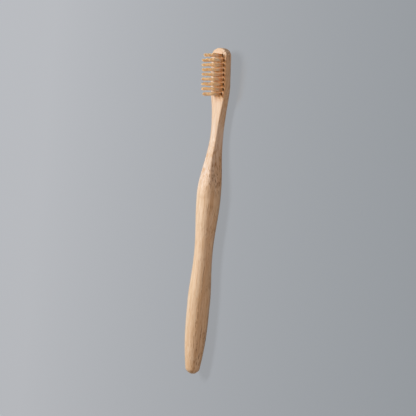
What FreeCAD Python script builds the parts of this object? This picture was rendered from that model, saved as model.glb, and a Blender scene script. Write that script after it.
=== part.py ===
import FreeCAD, Part
import math
import os

import Sketcher

# A bamboo toothbrush lying on its back with the bristles up, in millimetres and degrees.
# +X runs along the brush from the butt to the head's tip, +Z points up, the way the bristles point,
# and the origin is the middle of the brush on the surface that it lies on.

SIZES = (
    ("brush_length", 185.0, "from the butt's end to the head's tip"),
    ("butt_width", 7.3, "across the end of the handle"),
    ("butt_depth", 6.8, "through the end of the handle"),
    ("swell_width", 13.0, "across the palm swell"),
    ("swell_depth", 12.2, "through the palm swell"),
    ("waist_width", 10.7, "across the waist between the swells"),
    ("waist_depth", 9.6, "through the waist between the swells"),
    ("bulge_width", 14.0, "across the thumb bulge"),
    ("bulge_depth", 12.2, "through the thumb bulge"),
    ("neck_to_tip", 47.0, "from the thinnest neck section to the tip"),
    ("neck_width", 5.8, "across the neck"),
    ("neck_depth", 5.2, "through the neck"),
    ("neck_corner", 0.7, "rounding of the neck's arrises"),
    ("neck_drop", 1.8, "from the handle's axis down to the neck's middle"),
    ("head_to_tip", 19.0, "from the start of the head's straight sides to the tip"),
    ("head_width", 13.4, "across the head"),
    ("head_depth", 4.4, "through the head"),
    ("tip_radius", 10.0, "of the front of the head's tip, seen from the bristles"),
    ("tip_corner", 4.6, "between the tip's front and the head's sides, seen from the bristles"),
    ("face_corner", 0.8, "rounding round the head's bristle face"),
    ("back_corner", 1.6, "rounding round the head's back"),
    ("head_tilt", 4.6, "rise of the head towards its tip, degrees"),
    ("face_rise", 2.8, "from the handle's axis up to the face at the tip"),
    ("hole_diameter", 1.7, "tuft hole"),
    ("hole_depth", 3.0, "tuft hole, below the face"),
    ("tip_wall", 3.4, "bamboo from the tip to the first row's holes"),
    ("row_wall", 1.0, "bamboo between the holes of two rows"),
    ("column_wall", 1.28, "bamboo between two holes of a row"),
    ("front_row_wall", 1.45, "bamboo between two holes of the first row"),
    ("last_row_wall", 1.55, "bamboo between two holes of the last row"),
    ("tuft_length", 8.8, "bristles above the face"),
    ("tuft_crown", 1.6, "tapered end of a tuft"),
    ("tuft_clearance", 0.03, "between a tuft and its hole"),
    ("anchor_bite", 0.3, "anchor into the hole's wall, at each end"),
    ("anchor_height", 1.5, "anchor strip"),
    ("anchor_thickness", 0.25, "anchor strip"),
    ("anchor_lift", 0.6, "from the hole's floor to the anchor"),
    ("anchor_turn", 45.0, "anchor against the brush's length, degrees"),
    ("cut_overrun", 1.0, "of a cutting tool past the face"),
)

# Places along the handle, as shares of the length from the butt to the neck.
SWELL_PLACE_SHARE = 0.304
WAIST_PLACE_SHARE = 0.507
BULGE_PLACE_SHARE = 0.725
# Corner radius of the round handle sections, the butt's chamfer, and the rounding of the chamfer's edges, of
# the lesser of width and depth.
ROUND_CORNER_SHARE = 0.48
BUTT_CHAMFER_SHARE = 0.31
BUTT_ROUNDING_SHARE = 0.4

# How much of the change from one named section to the next is made at even steps between them.
BUTT_TO_SWELL_SHARES = (0.517, 0.855, 0.967)
SWELL_TO_WAIST_SHARES = (0.2, 0.57, 0.89)
WAIST_TO_BULGE_SHARES = (0.15, 0.5, 0.85)
# The flats of the neck run out on the bulge. At even steps from bulge to neck, each row holds how much of
# the change of width, of depth and of corner is made there, and how much of the neck's drop is reached.
BULGE_TO_NECK_SHARES = (
    (0.195, 0.086, 0.32, 0.0),
    (0.524, 0.329, 0.751, 0.194),
    (0.793, 0.514, 0.905, 0.411),
    (0.946, 0.714, 0.951, 0.644),
    (1.0, 0.9, 0.981, 0.878),
)
# The shoulder widens into the head. At even steps from neck to head, each row holds how much of the change
# of width, of depth and of corners is made there, and how much of the neck's lift off the face is left.
NECK_TO_HEAD_SHARES = (
    (0.175, 0.35, 0.25, 0.57),
    (0.47, 0.7, 0.5, 0.22),
    (0.83, 0.9, 0.8, 0.0),
)
# A tuft spreads above the face by this share of the thinnest wall between two holes, and ends in a dome
# whose radius is this share of the spread tuft's radius.
BELLY_SPREAD_SHARE = 0.3
NOSE_SHARE = 0.6

TUFTS_IN_ROWS = (3, 4, 4, 4, 4, 4, 4, 4, 3)

# How a sketch numbers the points of a line or an arc, its own two axes and its origin.
START, END, CENTRE = range(1, 4)
H_AXIS, V_AXIS = range(-1, -3, -1)
ORIGIN_POINT = (H_AXIS, START)

doc = FreeCAD.newDocument("toothbrush")
sheet = doc.addObject("Spreadsheet::Sheet", "sizes")
for line, (alias, size, meaning) in enumerate(SIZES, start=1):
    sheet.set(f"A{line}", alias)
    sheet.set(f"B{line}", str(size))
    sheet.set(f"C{line}", meaning)
    sheet.setAlias(f"B{line}", alias)
doc.recompute()


def between(first, last, share):
    """The expression for a size a share of the way from one size to another."""
    return f"({first} + ({last} - {first}) * {share})"


def least(*terms):
    """The expression for the smallest of some sizes."""
    return f"min({'; '.join(terms)})"


# Expressions that more than one piece uses.
AXIS_HEIGHT = "max(sizes.bulge_depth; sizes.swell_depth) / 2"
BUTT_X = "(-sizes.brush_length / 2)"
TIP_X = "(sizes.brush_length / 2)"
NECK_X = f"({TIP_X} - sizes.neck_to_tip)"
FACE_AT_TIP = f"({AXIS_HEIGHT} + sizes.face_rise)"
FACE_FALL = "(sizes.neck_to_tip * sin(sizes.head_tilt))"
NECK_LIFT = f"(sizes.neck_depth / 2 - sizes.neck_drop - sizes.face_rise + {FACE_FALL})"
BULGE_CORNER = f"({least('sizes.bulge_width', 'sizes.bulge_depth')} * {ROUND_CORNER_SHARE})"


def even_steps(rows):
    """Each row of a table with its place, a share of the way, on even steps between two sections."""
    return [(round(number / (len(rows) + 1), 4), row) for number, row in enumerate(rows, start=1)]


def origin_plane(body, role):
    """The plane of a body's own origin that has the given role."""
    return next(feature for feature in body.Origin.OriginFeatures if feature.Role == role)


def bind_sizes(sketch, names):
    """Ties each named dimension of a sketch to its expression."""
    for name, expression in names.items():
        sketch.setExpression(f"Constraints.{name}", expression)


def add_dimension(sketch, name, kind, *places):
    """Adds a named dimension; places holds what it measures and its present value."""
    index = sketch.addConstraint(Sketcher.Constraint(kind, *places))
    sketch.renameConstraint(index, name)


def line_between(start, end):
    return Part.LineSegment(FreeCAD.Vector(*start, 0), FreeCAD.Vector(*end, 0))


def corner_arc(centre, radius, start_degrees, end_degrees):
    circle = Part.Circle(FreeCAD.Vector(*centre, 0), FreeCAD.Vector(0, 0, 1), radius)
    return Part.ArcOfCircle(circle, math.radians(start_degrees), math.radians(end_degrees))


def stand_upright(sketch, along, height):
    """Sets a section square across the handle, with its top edge at a height."""
    sketch.AttachmentSupport = (origin_plane(sketch.getParentGeoFeatureGroup(), "YZ_Plane"), [""])
    sketch.MapMode = "FlatFace"
    sketch.setExpression("AttachmentOffset.Base.z", along)
    sketch.setExpression("AttachmentOffset.Base.y", height)


def stand_on_head(sketch, from_tip, lift="0"):
    """Sets a section square across the tilted head, with its top edge in or above the face's plane."""
    stand_upright(
        sketch,
        f"{TIP_X} - {from_tip} * cos(sizes.head_tilt) - {lift} * sin(sizes.head_tilt)",
        f"{FACE_AT_TIP} - {from_tip} * sin(sizes.head_tilt) + {lift} * cos(sizes.head_tilt)",
    )
    tilt = FreeCAD.Rotation(FreeCAD.Vector(-1, 0, 0), sheet.get("head_tilt"))
    sketch.AttachmentOffset = FreeCAD.Placement(sketch.AttachmentOffset.Base, tilt)
    sketch.setExpression("AttachmentOffset.Rotation.Angle", "sizes.head_tilt")


def rounded_section(body, name, width, depth, face_corner, back_corner):
    """A rounded rectangle below the sketch's X axis, with a corner radius each for its top and its back."""
    sketch = body.newObject("Sketcher::SketchObject", name)
    half = sketch.evalExpression(width) / 2
    deep = sketch.evalExpression(depth)
    top = sketch.evalExpression(face_corner)
    low = sketch.evalExpression(back_corner)
    sketch.addGeometry(
        [
            line_between((top - half, 0), (half - top, 0)),
            corner_arc((half - top, -top), top, 0, 90),
            line_between((half, low - deep), (half, -top)),
            corner_arc((half - low, low - deep), low, -90, 0),
            line_between((half - low, -deep), (low - half, -deep)),
            corner_arc((low - half, low - deep), low, 180, 270),
            line_between((-half, low - deep), (-half, -top)),
            corner_arc((top - half, -top), top, 90, 180),
        ]
    )
    top_edge, right_top, right_edge, right_low, low_edge, left_low, left_edge, left_top = range(8)
    joints = (
        (top_edge, END, right_top, END),
        (right_top, START, right_edge, END),
        (right_edge, START, right_low, END),
        (right_low, START, low_edge, START),
        (low_edge, END, left_low, END),
        (left_low, START, left_edge, START),
        (left_edge, END, left_top, END),
        (left_top, START, top_edge, START),
    )
    for joint in joints:
        sketch.addConstraint(Sketcher.Constraint("Tangent", *joint))
    sketch.addConstraint(
        [
            Sketcher.Constraint("Equal", right_top, left_top),
            Sketcher.Constraint("Equal", right_low, left_low),
            Sketcher.Constraint("Symmetric", top_edge, START, top_edge, END, V_AXIS),
            Sketcher.Constraint("Vertical", right_edge),
            Sketcher.Constraint("Vertical", left_edge),
            Sketcher.Constraint("Horizontal", low_edge),
            Sketcher.Constraint("PointOnObject", top_edge, START, H_AXIS),
        ]
    )
    add_dimension(sketch, "width", "DistanceX", left_edge, START, right_edge, START, 2 * half)
    add_dimension(sketch, "depth", "DistanceY", low_edge, START, top_edge, START, deep)
    add_dimension(sketch, "face_corner", "Radius", right_top, top)
    add_dimension(sketch, "back_corner", "Radius", right_low, low)
    names = {"width": width, "depth": depth, "face_corner": face_corner, "back_corner": back_corner}
    bind_sizes(sketch, names)
    return sketch


def handle_section(body, name, along, width, depth, corner=None, drop="0"):
    """An upright section of the handle; without a corner radius of its own it is nearly round."""
    corner = corner or f"{least(width, depth)} * {ROUND_CORNER_SHARE}"
    sketch = rounded_section(body, name, width, depth, corner, corner)
    stand_upright(sketch, along, f"{AXIS_HEIGHT} - {drop} + {depth} / 2")
    return sketch


def grip_lofts(body):
    """The round sections from butt to swell, swell to waist and waist to bulge, a list for each stretch."""
    stops = {"butt": 0, "swell": SWELL_PLACE_SHARE, "waist": WAIST_PLACE_SHARE, "bulge": BULGE_PLACE_SHARE}
    ends = {}
    for name, share in stops.items():
        along = between(BUTT_X, NECK_X, share)
        width, depth = f"sizes.{name}_width", f"sizes.{name}_depth"
        ends[name] = handle_section(body, f"{name}_section", along, width, depth)
    stretches = (
        ("butt", "swell", BUTT_TO_SWELL_SHARES),
        ("swell", "waist", SWELL_TO_WAIST_SHARES),
        ("waist", "bulge", WAIST_TO_BULGE_SHARES),
    )
    lofts = []
    for first, last, shares in stretches:
        loft = [ends[first]]
        for place, change in even_steps(shares):
            way = round(stops[first] + (stops[last] - stops[first]) * place, 4)
            loft.append(
                handle_section(
                    body,
                    f"{first}_to_{last}_section_{len(loft)}",
                    between(BUTT_X, NECK_X, way),
                    between(f"sizes.{first}_width", f"sizes.{last}_width", change),
                    between(f"sizes.{first}_depth", f"sizes.{last}_depth", change),
                )
            )
        lofts.append(loft + [ends[last]])
    return lofts


def neck_sections(body):
    """The sections of the flats, from where they start on the bulge to the neck."""
    bulge_x = between(BUTT_X, NECK_X, BULGE_PLACE_SHARE)
    rows = even_steps(BULGE_TO_NECK_SHARES) + [(1, (1, 1, 1, 1))]
    sections = []
    for place, (width, depth, corner, drop) in rows:
        sections.append(
            handle_section(
                body,
                f"neck_section_{len(sections) + 1}",
                between(bulge_x, NECK_X, place),
                between("sizes.bulge_width", "sizes.neck_width", width),
                between("sizes.bulge_depth", "sizes.neck_depth", depth),
                between(BULGE_CORNER, "sizes.neck_corner", corner),
                f"sizes.neck_drop * {drop}",
            )
        )
    return sections


def shoulder_sections(body):
    """The sections of the shoulder, from past the neck to the start of the head's straight sides."""
    rows = even_steps(NECK_TO_HEAD_SHARES) + [(1, (1, 1, 1, 0))]
    sections = []
    for place, (width, depth, corner, lift) in rows:
        sketch = rounded_section(
            body,
            f"shoulder_section_{len(sections) + 1}",
            between("sizes.neck_width", "sizes.head_width", width),
            between("sizes.neck_depth", "sizes.head_depth", depth),
            between("sizes.neck_corner", "sizes.face_corner", corner),
            between("sizes.neck_corner", "sizes.back_corner", corner),
        )
        from_tip = between("sizes.neck_to_tip", "sizes.head_to_tip", place)
        stand_on_head(sketch, from_tip, f"{NECK_LIFT} * {lift}")
        sections.append(sketch)
    return sections


def head_plan(body):
    """The head's outline on the bristle face, from the shoulder's end round the tip, where its origin is."""
    sketch = body.newObject("Sketcher::SketchObject", "head_plan")
    long = sheet.get("head_to_tip")
    half = sheet.get("head_width") / 2
    front = sheet.get("tip_radius")
    corner = sheet.get("tip_corner")
    inset = half - corner
    reach = math.sqrt((front - corner) ** 2 - inset**2)
    turn = math.degrees(math.atan2(inset, reach))
    sketch.addGeometry(
        [
            line_between((-long, half), (-long, -half)),
            line_between((-long, -half), (reach - front, -half)),
            corner_arc((reach - front, -inset), corner, -90, -turn),
            corner_arc((-front, 0), front, -turn, turn),
            corner_arc((reach - front, inset), corner, turn, 90),
            line_between((reach - front, half), (-long, half)),
        ]
    )
    root_edge, right_side, right_corner, front_arc, left_corner, left_side = range(6)
    sketch.addConstraint(
        [
            Sketcher.Constraint("Coincident", root_edge, END, right_side, START),
            Sketcher.Constraint("Coincident", left_side, END, root_edge, START),
            Sketcher.Constraint("Tangent", right_side, END, right_corner, START),
            Sketcher.Constraint("Tangent", right_corner, END, front_arc, START),
            Sketcher.Constraint("Tangent", front_arc, END, left_corner, START),
            Sketcher.Constraint("Tangent", left_corner, END, left_side, START),
            Sketcher.Constraint("Equal", right_corner, left_corner),
            Sketcher.Constraint("Horizontal", right_side),
            Sketcher.Constraint("Horizontal", left_side),
            Sketcher.Constraint("Symmetric", root_edge, START, root_edge, END, H_AXIS),
            Sketcher.Constraint("PointOnObject", front_arc, CENTRE, H_AXIS),
            Sketcher.Constraint("PointOnObject", *ORIGIN_POINT, front_arc),
        ]
    )
    add_dimension(sketch, "length", "DistanceX", root_edge, START, *ORIGIN_POINT, long)
    add_dimension(sketch, "width", "DistanceY", root_edge, END, root_edge, START, 2 * half)
    add_dimension(sketch, "tip_radius", "Radius", front_arc, front)
    add_dimension(sketch, "tip_corner", "Radius", right_corner, corner)
    bind_sizes(
        sketch,
        {
            "length": "sizes.head_to_tip",
            "width": "sizes.head_width",
            "tip_radius": "sizes.tip_radius",
            "tip_corner": "sizes.tip_corner",
        },
    )
    sketch.AttachmentSupport = (origin_plane(body, "XY_Plane"), [""])
    sketch.MapMode = "FlatFace"
    tilt = FreeCAD.Rotation(FreeCAD.Vector(0, -1, 0), sheet.get("head_tilt"))
    sketch.AttachmentOffset = FreeCAD.Placement(FreeCAD.Vector(), tilt)
    sketch.setExpression("AttachmentOffset.Rotation.Angle", "sizes.head_tilt")
    sketch.setExpression("AttachmentOffset.Base.x", TIP_X)
    sketch.setExpression("AttachmentOffset.Base.z", FACE_AT_TIP)
    return sketch


def rim_edges(feature, plan, on_face):
    """The edges of the head round its face or its back, without the straight one that the shoulder meets."""
    half_depth = sheet.get("head_depth") / 2
    half_length = sheet.get("head_to_tip") / 2
    to_plan = plan.Placement.inverse()
    names = []
    for number, edge in enumerate(feature.Shape.Edges, start=1):
        places = [to_plan.multVec(vertex.Point) for vertex in edge.Vertexes]
        levels = {place.z > -half_depth for place in places}
        if levels == {on_face} and max(place.x for place in places) > -half_length:
            names.append(f"Edge{number}")
    return names


def make_head(body):
    """The head's straight sides and tip: a plate under the bristle face, rounded along its face and back."""
    plan = head_plan(body)
    plate = body.newObject("PartDesign::Pad", "head_plate")
    plate.Profile = plan
    plate.Reversed = True
    plate.setExpression("Length", "sizes.head_depth")
    doc.recompute()
    for name, on_face, radius in (("face", True, "sizes.face_corner"), ("back", False, "sizes.back_corner")):
        rounding = body.newObject("PartDesign::Fillet", f"{name}_rounding")
        rounding.Base = (plate, rim_edges(plate, plan, on_face))
        rounding.setExpression("Radius", radius)
        doc.recompute()
        plate = rounding


def butt_edges(feature):
    """The edges that run round the handle close to its end."""
    near = sheet.get("butt_depth") / 2
    end = feature.evalExpression(BUTT_X)
    names = []
    for number, edge in enumerate(feature.Shape.Edges, start=1):
        places = [vertex.X - end for vertex in edge.Vertexes]
        if max(places) < near and max(places) - min(places) < near / 2:
            names.append(f"Edge{number}")
    return names


def round_butt(body, handle_end):
    """Domes the handle's end: a chamfer, and roundings along both of its edges."""
    size = least("sizes.butt_width", "sizes.butt_depth")
    chamfer = body.newObject("PartDesign::Chamfer", "butt_chamfer")
    chamfer.Base = (handle_end, butt_edges(handle_end))
    chamfer.setExpression("Size", f"{size} * {BUTT_CHAMFER_SHARE}")
    doc.recompute()
    rounding = body.newObject("PartDesign::Fillet", "butt_rounding")
    rounding.Base = (chamfer, butt_edges(chamfer))
    rounding.setExpression("Radius", f"{size} * {BUTT_ROUNDING_SHARE}")
    doc.recompute()


def make_handle_blank():
    """The bamboo handle before its holes are bored: the head, lofts end to end from it, and a domed butt."""
    body = doc.addObject("PartDesign::Body", "handle_blank")
    make_head(body)
    grip = grip_lofts(body)
    bulge = grip[-1][-1]
    neck = neck_sections(body)
    stretches = grip + [[bulge] + neck, [neck[-1]] + shoulder_sections(body)]
    for number, sections in enumerate(reversed(stretches), start=1):
        loft = body.newObject("PartDesign::AdditiveLoft", f"handle_loft_{number}")
        loft.Profile = sections[0]
        loft.Sections = sections[1:]
    doc.recompute()
    round_butt(body, loft)
    return body


def tuft_profile(body):
    """Half of a tuft's outline: the root in its hole, the spread above the face, the taper and the dome."""
    sketch = body.newObject("Sketcher::SketchObject", "tuft_profile")
    walls = ("row_wall", "column_wall", "front_row_wall", "last_row_wall")
    thinnest_wall = least(*(f"sizes.{wall}" for wall in walls))
    belly_radius = f"(sizes.hole_diameter + {thinnest_wall} * {BELLY_SPREAD_SHARE}) / 2"
    sizes = {
        "root_radius": "sizes.hole_diameter / 2 - sizes.tuft_clearance",
        "root_length": "sizes.hole_depth - sizes.tuft_clearance",
        "belly_radius": belly_radius,
        "nose_radius": f"{belly_radius} * {NOSE_SHARE}",
        "crown": "sizes.tuft_crown",
        "length": "sizes.tuft_length",
    }
    root, deep, belly, nose, crown, length = (sketch.evalExpression(size) for size in sizes.values())
    shoulder = length - crown
    sketch.addGeometry(
        [
            line_between((0, -deep), (0, length)),
            line_between((0, -deep), (root, -deep)),
            line_between((root, -deep), (root, 0)),
            line_between((root, 0), (belly, shoulder)),
            line_between((belly, shoulder), (nose, length - nose)),
            corner_arc((0, length - nose), nose, 0, 90),
        ]
    )
    middle, floor, wall, spread, taper, dome = range(6)
    sketch.addConstraint(
        [
            Sketcher.Constraint("Coincident", middle, START, floor, START),
            Sketcher.Constraint("Coincident", floor, END, wall, START),
            Sketcher.Constraint("Coincident", wall, END, spread, START),
            Sketcher.Constraint("Coincident", spread, END, taper, START),
            Sketcher.Constraint("Coincident", taper, END, dome, START),
            Sketcher.Constraint("Coincident", dome, END, middle, END),
            Sketcher.Constraint("PointOnObject", middle, START, V_AXIS),
            Sketcher.Constraint("Vertical", middle),
            Sketcher.Constraint("Horizontal", floor),
            Sketcher.Constraint("Vertical", wall),
            Sketcher.Constraint("PointOnObject", wall, END, H_AXIS),
            Sketcher.Constraint("PointOnObject", dome, CENTRE, V_AXIS),
            Sketcher.Constraint("Horizontal", dome, CENTRE, dome, START),
        ]
    )
    add_dimension(sketch, "root_radius", "DistanceX", *ORIGIN_POINT, wall, START, root)
    add_dimension(sketch, "root_length", "DistanceY", wall, START, wall, END, deep)
    add_dimension(sketch, "belly_radius", "DistanceX", *ORIGIN_POINT, spread, END, belly)
    add_dimension(sketch, "nose_radius", "Radius", dome, nose)
    add_dimension(sketch, "crown", "DistanceY", spread, END, dome, END, crown)
    add_dimension(sketch, "length", "DistanceY", *ORIGIN_POINT, dome, END, length)
    bind_sizes(sketch, sizes)
    sketch.AttachmentSupport = (origin_plane(body, "XZ_Plane"), [""])
    sketch.MapMode = "FlatFace"
    return sketch


def make_tuft_bundle():
    """One bundle of bristles about the Z axis, with the face at height zero."""
    body = doc.addObject("PartDesign::Body", "tuft_bundle")
    profile = tuft_profile(body)
    bundle = body.newObject("PartDesign::Revolution", "tuft_turning")
    bundle.Profile = profile
    bundle.ReferenceAxis = (profile, ["V_Axis"])
    bundle.Angle = 360
    return body


def make_tuft_hole():
    """The blind hole of one tuft, about the Z axis, with the face at height zero."""
    hole = doc.addObject("Part::Cylinder", "tuft_hole")
    hole.setExpression("Radius", "sizes.hole_diameter / 2")
    hole.setExpression("Height", "sizes.hole_depth + sizes.cut_overrun")
    hole.setExpression("Placement.Base.z", "-sizes.hole_depth")
    return hole


def make_tuft_anchor():
    """The strip that a bundle is folded over, turned about the Z axis and longer than its hole is wide."""
    anchor = doc.addObject("Part::Box", "tuft_anchor")
    length = "(sizes.hole_diameter + 2 * sizes.anchor_bite)"
    anchor.setExpression("Length", length)
    anchor.setExpression("Width", "sizes.anchor_thickness")
    anchor.setExpression("Height", "sizes.anchor_height")
    turn = FreeCAD.Rotation(FreeCAD.Vector(0, 0, 1), sheet.get("anchor_turn"))
    anchor.Placement = FreeCAD.Placement(FreeCAD.Vector(), turn)
    anchor.setExpression("Placement.Rotation.Angle", "sizes.anchor_turn")
    across = "sizes.anchor_thickness / 2"
    cosine, sine = "cos(sizes.anchor_turn)", "sin(sizes.anchor_turn)"
    anchor.setExpression("Placement.Base.x", f"{across} * {sine} - {length} / 2 * {cosine}")
    anchor.setExpression("Placement.Base.y", f"-{across} * {cosine} - {length} / 2 * {sine}")
    anchor.setExpression("Placement.Base.z", "sizes.anchor_lift - sizes.hole_depth")
    return anchor


def place_on_head(piece, row, column):
    """Stands a piece on the bristle face, at its row from the tip and its column across the head."""
    tufts = TUFTS_IN_ROWS[row]
    wall = "sizes.column_wall"
    if row == 0:
        wall = "sizes.front_row_wall"
    elif row == len(TUFTS_IN_ROWS) - 1:
        wall = "sizes.last_row_wall"
    from_tip = f"(sizes.tip_wall + sizes.hole_diameter / 2 + {row} * (sizes.hole_diameter + sizes.row_wall))"
    steps = column - (tufts - 1) / 2
    tilt = FreeCAD.Rotation(FreeCAD.Vector(0, -1, 0), sheet.get("head_tilt"))
    piece.Placement = FreeCAD.Placement(FreeCAD.Vector(), tilt)
    piece.setExpression("Placement.Rotation.Angle", "sizes.head_tilt")
    piece.setExpression("Placement.Base.x", f"{TIP_X} - {from_tip} * cos(sizes.head_tilt)")
    piece.setExpression("Placement.Base.y", f"{steps} * (sizes.hole_diameter + {wall})")
    piece.setExpression("Placement.Base.z", f"{FACE_AT_TIP} - {from_tip} * sin(sizes.head_tilt)")


def add_boolean(kind, name, base, tool):
    result = doc.addObject(kind, name)
    result.Base = base
    result.Tool = tool
    return result


def add_group(name, pieces):
    group = doc.addObject("Part::Compound", name)
    group.Links = pieces
    return group


# The pieces: the bored handle, every tuft by itself, and the anchors of each row together.
handle_blank = make_handle_blank()
bundle = make_tuft_bundle()
hole = make_tuft_hole()
anchor = make_tuft_anchor()
tufts, seats, anchor_rows = [], [], []
for row, count in enumerate(TUFTS_IN_ROWS):
    anchors = []
    for column in range(count):
        place = f"row{row + 1}_{column + 1}"
        tufts.append(add_boolean("Part::Cut", f"tuft_{place}", bundle, anchor))
        seats.append(add_boolean("Part::Fuse", f"seat_{place}", hole, anchor))
        anchors.append(add_group(f"anchor_{place}", [anchor]))
        for piece in (tufts[-1], seats[-1], anchors[-1]):
            place_on_head(piece, row, column)
    anchor_rows.append(add_group(f"anchors_row{row + 1}", anchors))
handle = add_boolean("Part::Cut", "handle", handle_blank, add_group("tuft_seats", seats))
doc.recompute()

failed = [item.Label for item in doc.Objects if {"Invalid", "Error"} & set(item.State)]
if failed:
    raise RuntimeError(f"these objects failed to build: {failed}")
pieces = [handle] + tufts + anchor_rows
broken = [piece.Label for piece in pieces if piece.Shape.isNull() or not piece.Shape.isValid()]
if broken:
    raise RuntimeError(f"these pieces have no valid shape: {broken}")
if handle.Shape.Volume >= handle_blank.Shape.Volume:
    raise RuntimeError("the tuft holes cut nothing")

os.makedirs("parts", exist_ok=True)
for piece in pieces:
    piece.Shape.exportStep(f"parts/{piece.Label}.step")
print(f"{len(pieces)} pieces, handle volume {handle.Shape.Volume:.1f} mm3")
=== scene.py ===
import math

import bpy
import numpy as np
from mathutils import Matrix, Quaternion, Vector


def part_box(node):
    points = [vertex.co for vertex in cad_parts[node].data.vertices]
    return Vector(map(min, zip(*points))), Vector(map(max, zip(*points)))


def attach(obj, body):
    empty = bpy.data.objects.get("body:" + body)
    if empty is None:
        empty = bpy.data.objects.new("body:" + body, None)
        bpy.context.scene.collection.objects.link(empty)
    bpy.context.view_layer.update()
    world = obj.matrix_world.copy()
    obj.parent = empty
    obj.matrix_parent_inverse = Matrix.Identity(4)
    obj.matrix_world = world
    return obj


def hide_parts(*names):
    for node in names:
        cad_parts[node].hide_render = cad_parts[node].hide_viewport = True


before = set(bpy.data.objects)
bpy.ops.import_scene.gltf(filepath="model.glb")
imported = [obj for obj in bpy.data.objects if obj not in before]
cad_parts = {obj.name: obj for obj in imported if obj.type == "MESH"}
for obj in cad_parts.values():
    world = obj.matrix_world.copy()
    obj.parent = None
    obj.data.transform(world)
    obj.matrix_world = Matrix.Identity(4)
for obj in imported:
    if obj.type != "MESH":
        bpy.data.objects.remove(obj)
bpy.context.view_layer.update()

# A bamboo toothbrush that lies on its back with the bristles up, in metres.
# +X runs from the butt to the head's tip, and +Z is the way the bristles point.

MM = 0.001


def linear(red, green, blue):
    """A colour written in display values from 0 to 255, as the linear colour that a shader takes."""
    display = np.array((red, green, blue)) / 255
    return (*np.where(display <= 0.04045, display / 12.92, ((display + 0.055) / 1.055) ** 2.4), 1.0)


# Filaments: the tube that each one is, and how much they differ from each other.
FILAMENTS = 50
FILAMENT_RADIUS = 0.1 * MM
FILAMENT_SIDES = 5
FILAMENT_RINGS = 6
RING_POWER = 2.5
LAST_RING_SHARE = 0.62
END_CAP_SHARE = 0.6
TRIM_SPREAD = 0.16 * MM
BOW = 0.2 * MM
TUFT_SEED = 34

# Tufts: how deep they stand in their holes, and the shape that the filaments make together.
FLOOR_SLACK = 0.12 * MM
HOLE_DEPTH = 2.97 * MM
ROOT_DEPTH = 1.3 * MM
THROAT_RADIUS = 0.46 * MM
BELLY_RADIUS = 0.92 * MM
END_RADIUS = 0.66 * MM
CLOSING_POWER = 4
TOP_CLEARANCE = 0.3 * MM
CROWN_DROP = 1.3 * MM
TUFT_LEAN = 0.08 * MM
LEAN_BACK = 0.2 * MM
GOLDEN_ANGLE = math.pi * (3 - math.sqrt(5))

# Bristle nylon: spans are shares of a filament's run, from its root to its end. The darker golden lower
# part and the brown root are painted shade.
DULL_BRISTLE = linear(214, 192, 162)
PALE_BRISTLE = linear(254, 240, 220)
# painted shade: the lower part of each filament is darker golden
SHADED_GOLDEN_BRISTLE = linear(226, 172, 116)
# painted shade at the root, standing in for the shadow at the tuft's base
PAINTED_ROOT_SHADE = linear(84, 52, 26)
SHADED_GOLDEN_SPAN = (0.7, 0.3)
ROOT_SHADE_SPAN = (0.26, 0.14)
LIGHT_SPAN = (0.26, 0.48)
NO_LIGHT = (0.0, 0.0, 0.0, 1.0)
GOLDEN_LIGHT = (1.0, 0.87, 0.58, 1.0)
BRISTLE_ROUGHNESS = 0.42
BRISTLE_SCATTER = 0.15 * MM

# Bamboo's colours
BUTT_PITH = linear(224, 194, 162)
WAIST_PITH = linear(230, 202, 172)
NECK_PITH = linear(225, 202, 184)
HEAD_PITH = linear(217, 190, 163)
CLOUD_TAN = linear(214, 186, 150)
STREAK_TAN = linear(208, 164, 116)
FIBRE_TAN = linear(186, 142, 98)
HEART_BUNDLE = linear(204, 154, 98)
SKIN_BUNDLE = linear(128, 82, 46)

# Bamboo's places on the handle, in millimetres: each from where a fade starts to where it ends.
WAIST_TO_BUTT = (-40.0, -90.0)
NECK_TO_HEAD = (46.0, 72.0)
WAIST_TO_NECK = (4.0, 24.0)
HEART_TO_SKIN = (-0.7, -5.8)
FRONT_CUT_TOP = (43.0, 34.0)
FRONT_CUT_FOOT = (9.0, 20.0)
BUTT_CUT = (-52.0, -66.0)
TIP_CUT = (83.0, 89.0)

# Bamboo's grain: lengths and widths in millimetres, and how far each mark goes.
STREAK_SIZE = (60.0, 1.6)
FIBRE_SIZE = (12.0, 0.4)
DASH_SIZE = (2.4, 0.7)
BUNDLE_PITCH = 0.74
BUNDLE_PLACE = (11.7, 2.9, 0.0)
BUNDLE_EDGE = (0.44, 0.14)
BUNDLE_CHANCE = (-0.2, 0.6)
DASH_EDGE = (0.42, 0.56)
CLOUD_EDGE = (0.35, 0.65)
STREAK_EDGE = (0.38, 0.64)
FIBRE_EDGE = (0.42, 0.7)
CLOUD_SHARE = 0.4
STREAK_SHARE = 0.48
FIBRE_SHARE = 0.6
HEART_SHARE = 0.6
BUTT_CUT_SHARE = 0.35
CLOSED_STRENGTH = 0.45
OPENED_STRENGTH = 2.0
CLOUD_SCALE = 0.06
DRIFT_SCALE = 0.07
DRIFT_REACH = 2.2
NOISE_MIDDLE = (0.5, 0.5, 0.5)
SOFT_DETAIL = 2.0
GRAIN_DETAIL = 3.0
GRAIN_ROUGHNESS = 0.55
FINISH_EDGE = (0.3, 0.7)
BAMBOO_ROUGHNESS = (0.52, 0.68)
BAMBOO_BUMP = 0.25
FIBRE_HEIGHT = 0.05 * MM

# Anchor brass: its rolling marks are in millimetres.
BRIGHT_BRASS = linear(206, 170, 98)
DULL_BRASS = linear(186, 148, 80)
ROLLING_MARK_SIZE = (2.0, 0.05)
BRASS_ROUGHNESS = (0.28, 0.42)

# Camera: the angle from which the photograph shows the brush, and the width of what it takes in.
CAMERA_AZIMUTH = 2.15
CAMERA_ELEVATION = 39.98
CAMERA_ROLL = -85.98
CAMERA_LENS = 100.0
CAMERA_SENSOR = 36.0
CAMERA_NEAR = 10 * MM
FRAME_WIDTH = 235.6 * MM
AIM_RIGHT = 0.4 * MM
AIM_UP = 1.95 * MM
MIDDLE_HEIGHT = 6.1 * MM

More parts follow.
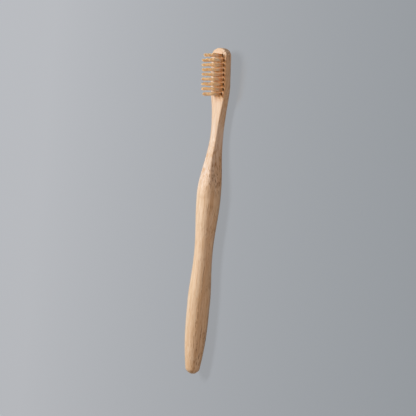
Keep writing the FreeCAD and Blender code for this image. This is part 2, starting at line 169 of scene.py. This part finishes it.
# Studio: the floor runs from dark to pale across the brush, and mostly shows by its own glow.
FLOOR_REACH = 4.0
FLOOR_RAMP = 0.19
DARK_FLOOR = linear(147, 152, 157)
PALE_FLOOR = linear(180, 182, 186)
FLOOR_GLOW = 0.85
BACKGROUND = linear(168, 172, 177)
WARM_FILL = (1.0, 0.78, 0.62, 1.0)
WARM_FILL_STRENGTH = 0.16


def add_node(tree, kind, inputs=None, **settings):
    """Adds a node, gives it its settings, and links or sets each named or numbered input."""
    node = tree.nodes.new(kind)
    for name, value in settings.items():
        setattr(node, name, value)
    for name, value in (inputs or {}).items():
        if isinstance(value, bpy.types.NodeSocket):
            tree.links.new(value, node.inputs[name])
        else:
            node.inputs[name].default_value = value
    return node


def calculate(tree, operation, *values):
    """One step of arithmetic on values."""
    return add_node(tree, "ShaderNodeMath", dict(enumerate(values)), operation=operation).outputs[0]


def calculate_vector(tree, operation, first, second):
    """One step of arithmetic on two vectors, axis by axis."""
    return add_node(tree, "ShaderNodeVectorMath", {0: first, 1: second}, operation=operation).outputs[0]


def fade(tree, value, start, end, low=0.0, high=1.0):
    """Runs smoothly from low to high as the value goes from start to end."""
    inputs = {"Value": value, "From Min": start, "From Max": end, "To Min": low, "To Max": high}
    return add_node(tree, "ShaderNodeMapRange", inputs, interpolation_type="SMOOTHSTEP").outputs[0]


def blend_colours(tree, share, first, second):
    """Mixes two colours. A Mix node's colours are its inputs 6 and 7, and its output 2."""
    return add_node(tree, "ShaderNodeMix", {0: share, 6: first, 7: second}, data_type="RGBA").outputs[2]


def mix_shaders(tree, share, first, second):
    """Mixes the shaders of two nodes."""
    inputs = {0: share, 1: first.outputs[0], 2: second.outputs[0]}
    return add_node(tree, "ShaderNodeMixShader", inputs).outputs[0]


def make_grain_group():
    """Long streaks.

    Noise over a place whose X is divided by a streak's length, and whose Y and Z by its width.
    """
    group = bpy.data.node_groups.new("long_grain", "ShaderNodeTree")
    sockets = group.interface
    sockets.new_socket("Place", in_out="INPUT", socket_type="NodeSocketVector")
    sockets.new_socket("Length", in_out="INPUT", socket_type="NodeSocketFloat")
    sockets.new_socket("Width", in_out="INPUT", socket_type="NodeSocketFloat")
    sockets.new_socket("Streak", in_out="OUTPUT", socket_type="NodeSocketFloat")
    given = group.nodes.new("NodeGroupInput").outputs
    result = group.nodes.new("NodeGroupOutput")
    streak = {"X": given["Length"], "Y": given["Width"], "Z": given["Width"]}
    size = add_node(group, "ShaderNodeCombineXYZ", streak).outputs[0]
    scaled = calculate_vector(group, "DIVIDE", given["Place"], size)
    settings = {"Vector": scaled, "Scale": 1.0, "Detail": GRAIN_DETAIL, "Roughness": GRAIN_ROUGHNESS}
    noise = add_node(group, "ShaderNodeTexNoise", settings)
    group.links.new(noise.outputs[0], result.inputs["Streak"])
    return group


GRAIN = make_grain_group()


def grain(tree, place, length, width):
    """The streaks of the grain group, in one material."""
    node = add_node(tree, "ShaderNodeGroup", node_tree=GRAIN)
    tree.links.new(place, node.inputs["Place"])
    node.inputs["Length"].default_value = length
    node.inputs["Width"].default_value = width
    return node.outputs["Streak"]


def soft_noise(tree, place, scale):
    """Slow changes over the whole piece, without a direction."""
    return add_node(tree, "ShaderNodeTexNoise", {"Vector": place, "Scale": scale, "Detail": SOFT_DETAIL})


def new_material(name):
    """A new material, with its node tree and its Principled shader."""
    material = bpy.data.materials.new(name)
    material.use_nodes = True
    tree = material.node_tree
    return material, tree, tree.nodes["Principled BSDF"]


def millimetres(tree):
    """The place on the object in millimetres."""
    place = add_node(tree, "ShaderNodeTexCoord").outputs["Object"]
    scaled = add_node(tree, "ShaderNodeVectorMath", {0: place, "Scale": 1 / MM}, operation="SCALE")
    return scaled.outputs[0]


def fibre_bundles(tree, wandering, along, skin):
    """Where the cane's fibre bundles show, from 0 between them to 1 and more.

    Each bundle is the core of a cell in a pattern across the cane, and a short grain breaks it into
    dashes along X. Some cells are weaker by chance. All are stronger where a cut opens their ends: on the
    slope in front of the bulge, at the head's tip and a little at the butt. Towards the cane's skin they
    are stronger too.
    """
    section = add_node(tree, "ShaderNodeSeparateXYZ", {0: wandering}).outputs
    across = add_node(tree, "ShaderNodeCombineXYZ", {"X": section["Y"], "Y": section["Z"]}).outputs[0]
    placed = calculate_vector(tree, "ADD", across, BUNDLE_PLACE)
    pattern = {"Vector": placed, "Scale": 1 / BUNDLE_PITCH}
    cells = add_node(tree, "ShaderNodeTexVoronoi", pattern, voronoi_dimensions="2D").outputs
    core = fade(tree, cells["Distance"], *BUNDLE_EDGE)
    chance = add_node(tree, "ShaderNodeSeparateColor", {0: cells["Color"]}).outputs[0]
    dashes = fade(tree, grain(tree, wandering, *DASH_SIZE), *DASH_EDGE)

    front_top = fade(tree, along, *FRONT_CUT_TOP)
    front = calculate(tree, "MULTIPLY", front_top, fade(tree, along, *FRONT_CUT_FOOT))
    butt = fade(tree, along, *BUTT_CUT, 0.0, BUTT_CUT_SHARE)
    ends = calculate(tree, "ADD", butt, fade(tree, along, *TIP_CUT))
    opened = fade(tree, calculate(tree, "ADD", front, ends), 0.0, 1.0, CLOSED_STRENGTH, OPENED_STRENGTH)

    bundle = calculate(tree, "MULTIPLY", core, fade(tree, chance, *BUNDLE_CHANCE))
    bundle = calculate(tree, "MULTIPLY", bundle, dashes)
    bundle = calculate(tree, "MULTIPLY", bundle, opened)
    return calculate(tree, "MULTIPLY", bundle, fade(tree, skin, 0.0, 1.0, HEART_SHARE, 1.0))


def bamboo():
    """Sanded bamboo, a solid that the handle's surface cuts.

    The pith is golden at the butt, pale at the neck and golden again at the head, with soft clouds, broad
    streaks and fine fibres. Darker fibre bundles run along X, so that a slanted cut shows dashes and a
    straight one streaks, and they are browner towards the cane's skin at -Y. The grain's place wanders a
    little across the cane.
    """
    material, tree, shader = new_material("sanded_bamboo")
    place = millimetres(tree)
    axes = add_node(tree, "ShaderNodeSeparateXYZ", {0: place}).outputs
    along = axes["X"]
    skin = fade(tree, axes["Y"], *HEART_TO_SKIN)

    drift = soft_noise(tree, place, DRIFT_SCALE).outputs["Color"]
    drift = calculate_vector(tree, "SUBTRACT", drift, NOISE_MIDDLE)
    drift = calculate_vector(tree, "MULTIPLY", drift, (0.0, DRIFT_REACH, DRIFT_REACH))
    wandering = calculate_vector(tree, "ADD", place, drift)
    bundle = fibre_bundles(tree, wandering, along, skin)
    broad = fade(tree, grain(tree, wandering, *STREAK_SIZE), *STREAK_EDGE, 0.0, STREAK_SHARE)
    fine = grain(tree, wandering, *FIBRE_SIZE)
    fibre = fade(tree, fine, *FIBRE_EDGE, 0.0, FIBRE_SHARE)
    cloud = fade(tree, soft_noise(tree, place, CLOUD_SCALE).outputs[0], *CLOUD_EDGE, 0.0, CLOUD_SHARE)

    lower = blend_colours(tree, fade(tree, along, *WAIST_TO_BUTT), WAIST_PITH, BUTT_PITH)
    upper = blend_colours(tree, fade(tree, along, *NECK_TO_HEAD), NECK_PITH, HEAD_PITH)
    pith = blend_colours(tree, fade(tree, along, *WAIST_TO_NECK), lower, upper)
    clouded = blend_colours(tree, cloud, pith, CLOUD_TAN)
    streaked = blend_colours(tree, broad, clouded, STREAK_TAN)
    fibred = blend_colours(tree, fibre, streaked, FIBRE_TAN)
    bundle_colour = blend_colours(tree, skin, HEART_BUNDLE, SKIN_BUNDLE)
    tree.links.new(blend_colours(tree, bundle, fibred, bundle_colour), shader.inputs["Base Color"])

    tree.links.new(fade(tree, fine, *FINISH_EDGE, *BAMBOO_ROUGHNESS), shader.inputs["Roughness"])
    relief = {"Strength": BAMBOO_BUMP, "Distance": FIBRE_HEIGHT, "Height": fine}
    tree.links.new(add_node(tree, "ShaderNodeBump", relief).outputs[0], shader.inputs["Normal"])
    return material


def bristle_nylon():
    """Golden filaments, each with its own tone, with painted shade along the run: darker golden on the
    lower part and brown at the root.

    Above the root they let a lamp's light through, golden, on its way to what stands behind them.
    """
    material, tree, shader = new_material("golden_bristle")
    run = add_node(tree, "ShaderNodeAttribute", attribute_name="run").outputs["Fac"]
    tone = add_node(tree, "ShaderNodeAttribute", attribute_name="tone").outputs["Fac"]
    body = blend_colours(tree, tone, DULL_BRISTLE, PALE_BRISTLE)
    # painted shade: darker golden on the lower part of each filament
    low = blend_colours(tree, fade(tree, run, *SHADED_GOLDEN_SPAN), body, SHADED_GOLDEN_BRISTLE)
    # painted shade: brown at the root, where the tuft's base lies in shadow
    colour = blend_colours(tree, fade(tree, run, *ROOT_SHADE_SPAN), low, PAINTED_ROOT_SHADE)
    tree.links.new(colour, shader.inputs["Base Color"])
    shader.inputs["Roughness"].default_value = BRISTLE_ROUGHNESS
    shader.inputs["Subsurface Weight"].default_value = 1.0
    shader.inputs["Subsurface Radius"].default_value = (1.0, 1.0, 1.0)
    shader.inputs["Subsurface Scale"].default_value = BRISTLE_SCATTER

    let_through = blend_colours(tree, fade(tree, run, *LIGHT_SPAN), NO_LIGHT, GOLDEN_LIGHT)
    clear = add_node(tree, "ShaderNodeBsdfTransparent", {"Color": let_through})
    lamp_ray = add_node(tree, "ShaderNodeLightPath").outputs["Is Shadow Ray"]
    shown = mix_shaders(tree, lamp_ray, shader, clear)
    tree.links.new(shown, tree.nodes["Material Output"].inputs["Surface"])
    return material


def anchor_brass():
    """Rolled brass strip with fine marks along its length."""
    material, tree, shader = new_material("rolled_brass")
    marks = grain(tree, millimetres(tree), *ROLLING_MARK_SIZE)
    tree.links.new(blend_colours(tree, marks, BRIGHT_BRASS, DULL_BRASS), shader.inputs["Base Color"])
    tree.links.new(fade(tree, marks, *FINISH_EDGE, *BRASS_ROUGHNESS), shader.inputs["Roughness"])
    shader.inputs["Metallic"].default_value = 1.0
    return material


def tuft_line(node):
    """The middle of a tuft solid's floor, and its highest point."""
    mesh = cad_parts[node].data
    places = np.empty(len(mesh.vertices) * 3, np.float32)
    mesh.vertices.foreach_get("co", places)
    places = places.reshape(-1, 3).astype(float)
    floor = places[places[:, 2] < places[:, 2].min() + FLOOR_SLACK]
    return (floor.min(axis=0) + floor.max(axis=0)) / 2, places[places[:, 2].argmax()]


def filament_lines(reach, draw):
    """The middle lines of a tuft's filaments: their rise, and their place along and across the head.

    Filament k stands at a share of the tuft's radius that grows as the square root of k, and turns by
    the golden angle from the last. Along its run t, from 0 under the face to 1 at its end, its distance
    from the tuft's line swells from the throat to the belly as a quarter of a sine, and closes in again
    towards the end as t to the fourth. A bow of its own, with the tuft's lean, grows as t squared.
    Filaments near the rim are shorter by the square of their share, which rounds the tuft's end. The
    steps of t lie closer together towards the end.
    """
    number = np.arange(FILAMENTS)
    share = np.sqrt((number + 0.5) / FILAMENTS)
    angle = number * GOLDEN_ANGLE + draw.uniform(0, 2 * math.pi)
    heights = reach - TOP_CLEARANCE - CROWN_DROP * share**2 - draw.uniform(0, TRIM_SPREAD, FILAMENTS)
    bow = draw.normal(0, BOW, (FILAMENTS, 2)) + draw.normal(0, TUFT_LEAN, 2)
    bow = bow + np.array((-LEAN_BACK, 0.0))

    run = 1 - (1 - np.linspace(0, 1, FILAMENT_RINGS)) ** RING_POWER
    start = HOLE_DEPTH - ROOT_DEPTH
    rise = start + (heights[:, None] - start) * run
    swell = THROAT_RADIUS + (BELLY_RADIUS - THROAT_RADIUS) * np.sin(run * math.pi / 2)
    swell = swell - (BELLY_RADIUS - END_RADIUS) * run**CLOSING_POWER
    off = share[:, None] * swell
    x = off * np.cos(angle)[:, None] + bow[:, :1] * run**2
    y = off * np.sin(angle)[:, None] + bow[:, 1:] * run**2
    return run, rise, x, y


def filament_faces():
    """The faces of all filaments: quads between each tube's rings, and a fan of triangles at either end.

    A filament's vertices are those of its rings, from the root up, then its low end and its high end.
    """
    per_filament = FILAMENT_RINGS * FILAMENT_SIDES + 2
    base = np.arange(FILAMENTS)[:, None] * per_filament
    side = np.arange(FILAMENT_SIDES)
    after = (side + 1) % FILAMENT_SIDES
    below = base[:, None] + np.arange(FILAMENT_RINGS - 1)[:, None] * FILAMENT_SIDES
    above = below + FILAMENT_SIDES
    bands = np.stack((below + side, below + after, above + after, above + side), axis=-1)

    last_ring = base + (FILAMENT_RINGS - 1) * FILAMENT_SIDES
    low_end = base + per_filament - 2 + np.zeros_like(side)
    high_end = low_end + 1
    roots = np.stack((base + after, base + side, low_end), axis=-1)
    tips = np.stack((last_ring + side, last_ring + after, high_end), axis=-1)
    return bands.reshape(-1, 4).tolist() + roots.reshape(-1, 3).tolist() + tips.reshape(-1, 3).tolist()


def bristle_tuft(node, draw):
    """One tuft of filaments, each a thin tube along its own bowed line.

    The tube's rings are small circles across the tuft's line, and the last one is smaller, so that the
    end is round. Each vertex keeps its run along the filament, and the filament's tone.
    """
    root, top = tuft_line(node)
    reach = np.linalg.norm(top - root)
    line = (top - root) / reach
    across = np.cross(line, (1.0, 0.0, 0.0))
    across /= np.linalg.norm(across)
    along = np.cross(across, line)
    run, rise, x, y = filament_lines(reach, draw)
    middle = root + rise[..., None] * line + x[..., None] * along + y[..., None] * across

    turn = np.arange(FILAMENT_SIDES) * 2 * math.pi / FILAMENT_SIDES
    ring = np.cos(turn)[:, None] * along + np.sin(turn)[:, None] * across
    radius = np.full(FILAMENT_RINGS, FILAMENT_RADIUS)
    radius[-1] *= LAST_RING_SHARE
    tubes = middle[:, :, None, :] + radius[:, None, None] * ring
    ends = np.stack((middle[:, 0], middle[:, -1] + line * FILAMENT_RADIUS * END_CAP_SHARE), axis=1)
    vertices = np.concatenate((tubes.reshape(FILAMENTS, -1, 3), ends), axis=1)

    mesh = bpy.data.meshes.new(node.replace("tuft", "bristles"))
    mesh.from_pydata(vertices.reshape(-1, 3).tolist(), [], filament_faces())
    mesh.polygons.foreach_set("use_smooth", np.ones(len(mesh.polygons), bool))
    runs = np.tile(np.concatenate((np.repeat(run, FILAMENT_SIDES), (0.0, 1.0))), FILAMENTS)
    tones = np.repeat(draw.uniform(0, 1, FILAMENTS), vertices.shape[1])
    for name, values in (("run", runs), ("tone", tones)):
        mesh.attributes.new(name, "FLOAT", "POINT").data.foreach_set("value", values.astype(np.float32))
    mesh.update()
    return link_object(mesh.name, mesh)


def link_object(name, data):
    """Puts a mesh, a lamp or a camera into the scene."""
    piece = bpy.data.objects.new(name, data)
    bpy.context.scene.collection.objects.link(piece)
    return piece


def dress_node(node, material):
    """Gives a CAD node one material of this scene."""
    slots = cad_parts[node].data.materials
    slots.clear()
    slots.append(material)


def make_brush():
    """Dresses the handle and the anchors, and puts bristles in the place of each tuft solid."""
    bamboo_finish, brass_finish, bristle_finish = bamboo(), anchor_brass(), bristle_nylon()
    draw = np.random.default_rng(TUFT_SEED)
    for node in sorted(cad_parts):
        if node == "handle":
            dress_node(node, bamboo_finish)
        elif node.startswith("anchors"):
            dress_node(node, brass_finish)
        else:
            tuft = bristle_tuft(node, draw)
            tuft.data.materials.append(bristle_finish)
            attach(tuft, "root")
            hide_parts(node)


def direction_from(azimuth, elevation):
    """The way from the brush to a viewer or a lamp.

    Azimuth 0 stands at -Y, and elevation is measured up from the floor.
    """
    turn, rise = math.radians(azimuth), math.radians(elevation)
    return Vector((math.sin(turn) * math.cos(rise), -math.cos(turn) * math.cos(rise), math.sin(rise)))


def brush_middle():
    """The middle of the handle's thickness, half way along the brush."""
    low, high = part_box("handle")
    return Vector(((low.x + high.x) / 2, 0.0, MIDDLE_HEIGHT))


def make_camera():
    """A camera far enough away that the frame's width fits at the brush."""
    data = bpy.data.cameras.new("camera")
    data.lens = CAMERA_LENS
    data.sensor_width = CAMERA_SENSOR
    data.clip_start = CAMERA_NEAR
    camera = link_object("camera", data)
    back = direction_from(CAMERA_AZIMUTH, CAMERA_ELEVATION)
    turned = (-back).to_track_quat("-Z", "Y") @ Quaternion((0, 0, 1), math.radians(CAMERA_ROLL))
    aim = brush_middle() + turned @ Vector((AIM_RIGHT, AIM_UP, 0))
    distance = FRAME_WIDTH * CAMERA_LENS / CAMERA_SENSOR
    camera.rotation_mode = "QUATERNION"
    camera.rotation_quaternion = turned
    camera.location = aim + back * distance
    bpy.context.scene.camera = camera


def make_lamp(name, azimuth, elevation, distance, length, width, watts, colour):
    """A long soft lamp that faces the middle of the brush, its length level."""
    data = bpy.data.lights.new(name, "AREA")
    data.shape = "RECTANGLE"
    data.size = length
    data.size_y = width
    data.energy = watts
    data.color = colour
    lamp = link_object(name, data)
    back = direction_from(azimuth, elevation)
    lamp.location = brush_middle() + back * distance
    lamp.rotation_mode = "QUATERNION"
    lamp.rotation_quaternion = (-back).to_track_quat("-Z", "Y")


def make_lamps():
    """A narrow cool key from behind the brush, and a wide warm fill from the camera's side."""
    key = {"azimuth": 149.0, "elevation": 56.5, "distance": 0.9, "length": 0.5, "width": 0.12}
    fill = {"azimuth": 0.0, "elevation": 26.0, "distance": 1.0, "length": 1.0, "width": 0.6}
    make_lamp("key", **key, watts=10.2, colour=(0.9, 0.95, 1.0))
    make_lamp("fill", **fill, watts=2.5, colour=(1.0, 0.72, 0.5))


def seen_rays(tree):
    """1 for rays that show a background to the camera, directly, in a reflection or through glass."""
    path = add_node(tree, "ShaderNodeLightPath")
    shown = calculate(tree, "MAXIMUM", path.outputs["Is Camera Ray"], path.outputs["Is Glossy Ray"])
    return calculate(tree, "MAXIMUM", shown, path.outputs["Is Transmission Ray"])


def make_floor():
    """A plain grey floor, paler towards +Y, that keeps a faint shadow of the brush."""
    material = bpy.data.materials.new("grey_floor")
    material.use_nodes = True
    tree = material.node_tree
    tree.nodes.clear()
    place = add_node(tree, "ShaderNodeTexCoord").outputs["Object"]
    across = add_node(tree, "ShaderNodeSeparateXYZ", {0: place}).outputs["Y"]
    span = {"Value": across, "From Min": -FLOOR_RAMP, "From Max": FLOOR_RAMP}
    ramp = add_node(tree, "ShaderNodeMapRange", span).outputs[0]
    colour = blend_colours(tree, ramp, DARK_FLOOR, PALE_FLOOR)
    matt = add_node(tree, "ShaderNodeBsdfDiffuse", {"Color": colour})
    glow = add_node(tree, "ShaderNodeEmission", {"Color": colour, "Strength": 1.0})
    share = calculate(tree, "MULTIPLY", seen_rays(tree), FLOOR_GLOW)
    add_node(tree, "ShaderNodeOutputMaterial", {"Surface": mix_shaders(tree, share, matt, glow)})

    mesh = bpy.data.meshes.new("floor")
    corners = np.array(((-1, -1, 0), (1, -1, 0), (1, 1, 0), (-1, 1, 0))) * FLOOR_REACH
    mesh.from_pydata(corners.tolist(), [], [(0, 1, 2, 3)])
    mesh.materials.append(material)
    link_object("floor", mesh)


def make_world():
    """A plain grey background that lights the brush with a soft warm fill."""
    world = bpy.data.worlds.new("studio")
    bpy.context.scene.world = world
    world.use_nodes = True
    tree = world.node_tree
    tree.nodes.clear()
    fill = add_node(tree, "ShaderNodeBackground", {"Color": WARM_FILL, "Strength": WARM_FILL_STRENGTH})
    ground = add_node(tree, "ShaderNodeBackground", {"Color": BACKGROUND, "Strength": 1.0})
    add_node(tree, "ShaderNodeOutputWorld", {"Surface": mix_shaders(tree, seen_rays(tree), fill, ground)})


make_brush()
make_camera()
make_lamps()
make_floor()
make_world()
bpy.context.scene.view_settings.view_transform = "Standard"
